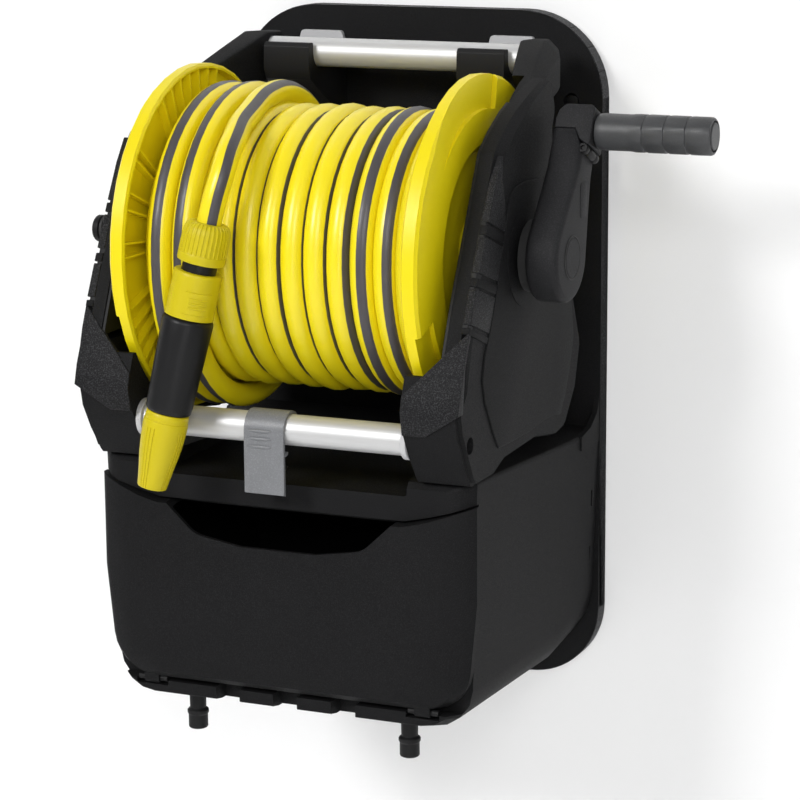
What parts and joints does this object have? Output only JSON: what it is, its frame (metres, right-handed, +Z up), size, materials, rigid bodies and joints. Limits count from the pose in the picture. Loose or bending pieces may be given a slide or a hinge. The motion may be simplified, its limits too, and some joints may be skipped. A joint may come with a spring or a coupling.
{
  "type": "wall hose reel station",
  "caption": "Wall station with a lift-off garden hose reel: ribbed drum, folding crank, wound hose with connector and nozzle, and a tilt-out storage door below.",
  "frame": {"origin": "On the wall plane, midway across the station and level with the reel's axis, at the middle of the back plate's cross rib", "axes": "+X along the reel's axis towards the crank, +Y into the wall, +Z up"},
  "size_m": [0.4793, 0.3366, 0.529],
  "materials": {
    "black_plastic": "fine-grained black moulding",
    "yellow_plastic": "satin yellow moulding",
    "grey_plastic": "dark grey moulding",
    "pale_plastic": "light grey moulding",
    "steel": "zinc-plated steel",
    "aluminium": "anodised tube",
    "black_rubber": "seal rubber",
    "hose": "glossy yellow hose with a dark stripe"
  },
  "bodies": {
    "station": {"station_housing": "black_plastic", "hook_left": "black_plastic", "hook_right": "black_plastic", "hook_pad_left": "pale_plastic", "hook_pad_right": "pale_plastic", "park_spigot_left": "black_plastic", "park_spigot_right": "black_plastic", "wall_screw_1": "steel", "wall_screw_2": "steel", "wall_screw_3": "steel", "wall_screw_4": "steel", "door_pin_left": "steel", "door_pin_right": "steel"},
    "door": {"storage_door": "black_plastic"},
    "reel_frame": {"side_frame_left": "black_plastic", "side_frame_right": "black_plastic", "frame_cover_left": "black_plastic", "frame_cover_right": "black_plastic", "bearing_left": "grey_plastic", "bearing_right": "grey_plastic", "top_tube": "aluminium", "lower_tube": "aluminium", "tube_bush_left": "pale_plastic", "tube_bush_right": "pale_plastic", "tube_screw_left": "steel", "tube_screw_right": "steel", "inlet_spigot": "black_plastic", "inlet_seal": "black_rubber", "hose_tail": "hose", "connector_nut": "yellow_plastic", "connector_body": "black_plastic", "nozzle_body": "black_plastic"},
    "clip": {"hose_clip": "grey_plastic", "clip_leaf": "black_plastic"},
    "drum": {"flange_left": "yellow_plastic", "flange_right": "yellow_plastic", "drum_barrel": "yellow_plastic", "drum_shaft": "black_plastic", "hose_elbow": "black_plastic", "hose_winding": "hose", "crank_arm": "black_plastic", "crank_screw": "steel", "crank_cap": "grey_plastic", "handle_pin": "steel"},
    "handle": {"handle_block": "black_plastic", "grip_spindle": "steel"},
    "grip": {"grip_sleeve": "grey_plastic", "grip_end_cap": "grey_plastic"},
    "release_sleeve": {"connector_sleeve": "yellow_plastic"},
    "jet_ring": {"nozzle_tip": "yellow_plastic"}
  },
  "joints": [
    {"name": "door_tilt", "type": "hinge", "parent": "station", "child": "door", "pos_m": [0, -0.2693, -0.3233], "axis": [1, 0, 0], "range_deg": [0, 35]},
    {"name": "reel_lift", "type": "slide", "parent": "station", "child": "reel_frame", "axis": [0, 0, 1], "range_m": [0, 0.024]},
    {"name": "clip_swing", "type": "hinge", "parent": "reel_frame", "child": "clip", "pos_m": [0, -0.2867, -0.1183], "axis": [-1, 0, 0], "range_deg": [0, 60]},
    {"name": "drum_spin", "type": "hinge", "parent": "reel_frame", "child": "drum", "pos_m": [0, -0.1816, 0], "axis": [1, 0, 0], "continuous": true},
    {"name": "handle_fold", "type": "hinge", "parent": "drum", "child": "handle", "pos_m": [0.1902, -0.14805, 0.07097], "axis": [0, 0.9041, -0.4274], "range_deg": [0, 90]},
    {"name": "grip_spin", "type": "hinge", "parent": "handle", "child": "grip", "pos_m": [0.2375, -0.14079, 0.08634], "axis": [1, 0, 0], "continuous": true},
    {"name": "sleeve_release", "type": "slide", "parent": "reel_frame", "child": "release_sleeve", "axis": [0.2125, 0.0867, 0.9733], "range_m": [0, 0.004], "stiffness_N_per_m": 900},
    {"name": "jet_twist", "type": "hinge", "parent": "reel_frame", "child": "jet_ring", "pos_m": [-0.03615, -0.3074, 0.0315], "axis": [-0.2125, -0.0867, -0.9733], "range_deg": [0, 270]}
  ]
}
